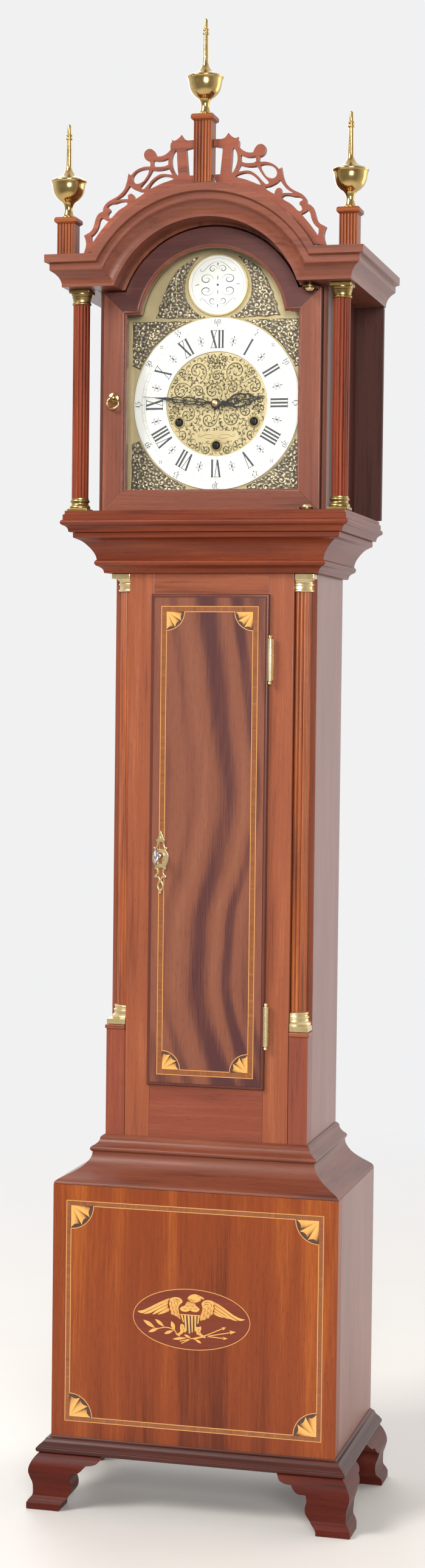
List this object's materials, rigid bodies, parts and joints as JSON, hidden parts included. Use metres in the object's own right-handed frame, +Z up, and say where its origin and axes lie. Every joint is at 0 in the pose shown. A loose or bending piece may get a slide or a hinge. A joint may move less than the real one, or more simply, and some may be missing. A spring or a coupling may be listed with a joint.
{
  "type": "dwarf grandfather clock",
  "caption": "Short floor-standing longcase clock with an arched sliding hood, glazed hood door, columned waist with a locking door, panelled base and bracket feet.",
  "frame": {"origin": "centre of the clock's bounding box in plan, on the floor plane under the feet", "axes": "+X to the right seen from the front, +Y towards the back, +Z up; the dial faces -Y"},
  "size_m": [0.283, 0.179, 1.2612],
  "materials": {
    "mahogany": "satin lacquered reddish-brown mahogany",
    "figured_mahogany": "satin lacquered figured mahogany veneer with light stringing",
    "dark_mahogany": "dark stained mahogany",
    "amber_mahogany": "satin lacquered orange-brown mahogany",
    "secondary_wood": "plain unpolished secondary wood",
    "polished_brass": "polished",
    "clock_brass": "brushed",
    "steel": "bright",
    "black_steel": "satin black",
    "dial_white": "satin silvered white",
    "glass": "clear"
  },
  "bodies": {
    "case": {"foot_front_left": "dark_mahogany", "foot_front_right": "dark_mahogany", "foot_rear_left": "dark_mahogany", "foot_rear_right": "dark_mahogany", "base_molding": "dark_mahogany", "base_front_panel": "figured_mahogany", "base_left_side": "mahogany", "base_right_side": "mahogany", "waist_base_molding": "mahogany", "waist_left_side": "mahogany", "waist_right_side": "mahogany", "waist_front_frame": "amber_mahogany", "waist_column_left": "amber_mahogany", "waist_column_right": "amber_mahogany", "waist_top_molding": "mahogany", "backboard": "secondary_wood", "seat_board": "secondary_wood", "waist_hinge_upper": "polished_brass", "waist_hinge_lower": "polished_brass", "dial_plate": "clock_brass", "chapter_ring": "dial_white", "arch_disc": "dial_white", "movement_front_plate": "clock_brass", "movement_back_plate": "clock_brass"},
    "hood": {"hood_base_frame": "mahogany", "hood_left_side": "mahogany", "hood_right_side": "mahogany", "hood_front_frame": "amber_mahogany", "hood_cornice": "mahogany", "hood_roof": "secondary_wood", "hood_column_left": "amber_mahogany", "hood_column_right": "amber_mahogany", "fretwork_left": "mahogany", "fretwork_right": "mahogany", "plinth_left": "amber_mahogany", "plinth_center": "amber_mahogany", "plinth_right": "amber_mahogany", "finial_left": "polished_brass", "finial_center": "polished_brass", "finial_right": "polished_brass"},
    "hood_door": {"hood_door_frame": "mahogany", "hood_door_glass": "glass", "hood_hinge_upper": "polished_brass", "hood_hinge_lower": "polished_brass", "hood_pull_post": "polished_brass"},
    "hood_pull_ring": {"hood_pull_ring": "polished_brass"},
    "waist_door": {"waist_door": "figured_mahogany", "escutcheon": "polished_brass", "lock_case": "clock_brass"},
    "lock_bolt": {"lock_bolt": "steel"},
    "door_key": {"door_key": "steel"},
    "minute_hand": {"minute_hand": "black_steel"},
    "hour_hand": {"hour_hand": "black_steel"},
    "minute_wheel": {"minute_wheel": "clock_brass"},
    "spring_barrel_left": {"spring_barrel_left": "clock_brass"},
    "spring_barrel_center": {"spring_barrel_center": "clock_brass"},
    "spring_barrel_right": {"spring_barrel_right": "clock_brass"},
    "pendulum": {"anchor_crutch": "steel", "pendulum_rod": "clock_brass", "pendulum_bob": "clock_brass"}
  },
  "joints": [
    {"name": "hood_slide", "type": "slide", "parent": "case", "child": "hood", "axis": [0, -1, 0], "range_m": [0, 0.12]},
    {"name": "hood_door_swing", "type": "hinge", "parent": "hood", "child": "hood_door", "pos_m": [0.087, -0.05615, 0.95], "axis": [0, 0, 1], "range_deg": [0, 95]},
    {"name": "pull_ring_swing", "type": "hinge", "parent": "hood_door", "child": "hood_pull_ring", "pos_m": [-0.0852, -0.04935, 0.9516], "axis": [-1, 0, 0], "range_deg": [0, 85]},
    {"name": "waist_door_swing", "type": "hinge", "parent": "case", "child": "waist_door", "pos_m": [0.0534, -0.03955, 0.574], "axis": [0, 0, 1], "range_deg": [0, 105]},
    {"name": "key_turn", "type": "hinge", "parent": "waist_door", "child": "door_key", "pos_m": [-0.041, -0.03915, 0.561], "axis": [0, -1, 0], "range_deg": [0, 90]},
    {"name": "bolt_slide", "type": "slide", "parent": "waist_door", "child": "lock_bolt", "axis": [-1, 0, 0], "range_m": [0, 0.009]},
    {"name": "minute_turn", "type": "hinge", "parent": "case", "child": "minute_hand", "pos_m": [0, -0.02815, 0.9479], "axis": [0, 1, 0], "continuous": true},
    {"name": "hour_turn", "type": "hinge", "parent": "case", "child": "hour_hand", "pos_m": [0, -0.02615, 0.9479], "axis": [0, 1, 0], "continuous": true},
    {"name": "minute_wheel_turn", "type": "hinge", "parent": "case", "child": "minute_wheel", "pos_m": [0, -0.01415, 0.9719], "axis": [0, 1, 0], "continuous": true},
    {"name": "wind_left", "type": "hinge", "parent": "case", "child": "spring_barrel_left", "pos_m": [-0.033, -0.01015, 0.9325], "axis": [0, 1, 0], "continuous": true},
    {"name": "wind_center", "type": "hinge", "parent": "case", "child": "spring_barrel_center", "pos_m": [0, -0.01015, 0.9125], "axis": [0, 1, 0], "continuous": true},
    {"name": "wind_right", "type": "hinge", "parent": "case", "child": "spring_barrel_right", "pos_m": [0.033, -0.01015, 0.9325], "axis": [0, 1, 0], "continuous": true},
    {"name": "pendulum_swing", "type": "hinge", "parent": "case", "child": "pendulum", "pos_m": [0, 0.05185, 0.985], "axis": [0, 1, 0], "range_deg": [-3, 3]}
  ],
  "couplings": [
    {"joint": "key_turn", "follows": "bolt_slide", "rad_per_m": 174.53},
    {"joint": "hour_turn", "follows": "minute_turn", "ratio": 0.083333},
    {"joint": "minute_wheel_turn", "follows": "minute_turn", "ratio": -0.33333}
  ]
}
